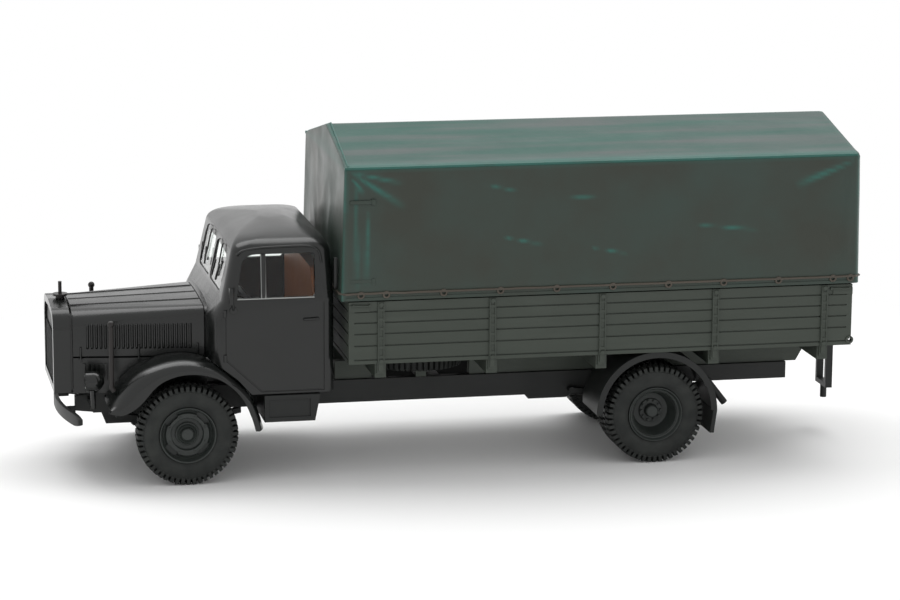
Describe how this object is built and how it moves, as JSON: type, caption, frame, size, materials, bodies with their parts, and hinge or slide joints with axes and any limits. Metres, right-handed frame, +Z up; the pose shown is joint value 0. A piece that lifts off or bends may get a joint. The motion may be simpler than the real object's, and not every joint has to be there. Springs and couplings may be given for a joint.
{
  "type": "military cargo truck scale model",
  "caption": "Plastic 1:87 scale model of a bonneted army cargo truck with covered load bed, planked sides, twin rear wheels and wheels that roll on fixed axle pins.",
  "frame": {"origin": "on the ground under the middle of the model's bounding box", "axes": "+Z up, -X towards the radiator, -Y the driver's side"},
  "size_m": [0.0912, 0.027, 0.0377],
  "materials": {
    "body_plastic": "semi-gloss black-grey moulded plastic",
    "chassis_plastic": "dark grey moulded plastic",
    "bed_plastic": "grey-green moulded plastic",
    "tarp_plastic": "dark green painted moulded plastic",
    "seat_plastic": "orange-brown moulded plastic",
    "clear_plastic": "clear moulded plastic",
    "tyre": "matt dark grey soft plastic",
    "rim_plastic": "dark grey moulded plastic",
    "trim_plastic": "black-brown moulded plastic"
  },
  "bodies": {
    "truck": {"chassis_frame": "chassis_plastic", "engine_block": "chassis_plastic", "drive_shaft": "chassis_plastic", "front_axle": "chassis_plastic", "rear_axle": "chassis_plastic", "front_springs": "chassis_plastic", "rear_springs": "chassis_plastic", "tail_pipe": "chassis_plastic", "tow_coupling": "chassis_plastic", "bonnet": "body_plastic", "side_panels": "body_plastic", "radiator_shell": "body_plastic", "radiator_core": "chassis_plastic", "radiator_cap": "trim_plastic", "cab_shell": "body_plastic", "cab_glazing": "clear_plastic", "cab_floor": "chassis_plastic", "seat": "seat_plastic", "steering_wheel": "chassis_plastic", "front_fender_left": "body_plastic", "front_fender_right": "body_plastic", "step_left": "chassis_plastic", "step_right": "chassis_plastic", "bumper": "chassis_plastic", "headlamp_left": "body_plastic", "headlamp_right": "body_plastic", "lamp_glasses": "clear_plastic", "marker_left": "trim_plastic", "marker_right": "trim_plastic", "mirror_left": "body_plastic", "mirror_right": "body_plastic", "direction_arm_left": "body_plastic", "direction_arm_right": "body_plastic", "bed_subframe": "bed_plastic", "bed_floor": "bed_plastic", "bed_side_left": "bed_plastic", "bed_side_right": "bed_plastic", "bed_headboard": "bed_plastic", "bed_tailboard": "bed_plastic", "tarp": "tarp_plastic", "rear_guard_left": "chassis_plastic", "rear_guard_right": "chassis_plastic", "spare_tyre": "tyre", "spare_rim": "chassis_plastic"},
    "front_wheel_left": {"front_tyre_left": "tyre", "front_rim_left": "rim_plastic"},
    "front_wheel_right": {"front_tyre_right": "tyre", "front_rim_right": "rim_plastic"},
    "rear_wheels_left": {"rear_tyres_left": "tyre", "rear_rims_left": "rim_plastic"},
    "rear_wheels_right": {"rear_tyres_right": "tyre", "rear_rims_right": "rim_plastic"}
  },
  "joints": [
    {"name": "front_left_roll", "type": "hinge", "parent": "truck", "child": "front_wheel_left", "pos_m": [-0.03162, -0.0113, 0.00559], "axis": [0, 1, 0], "continuous": true},
    {"name": "front_right_roll", "type": "hinge", "parent": "truck", "child": "front_wheel_right", "pos_m": [-0.03162, 0.0113, 0.00559], "axis": [0, 1, 0], "continuous": true},
    {"name": "rear_left_roll", "type": "hinge", "parent": "truck", "child": "rear_wheels_left", "pos_m": [0.02128, -0.00965, 0.00559], "axis": [0, 1, 0], "continuous": true},
    {"name": "rear_right_roll", "type": "hinge", "parent": "truck", "child": "rear_wheels_right", "pos_m": [0.02128, 0.00965, 0.00559], "axis": [0, 1, 0], "continuous": true}
  ]
}
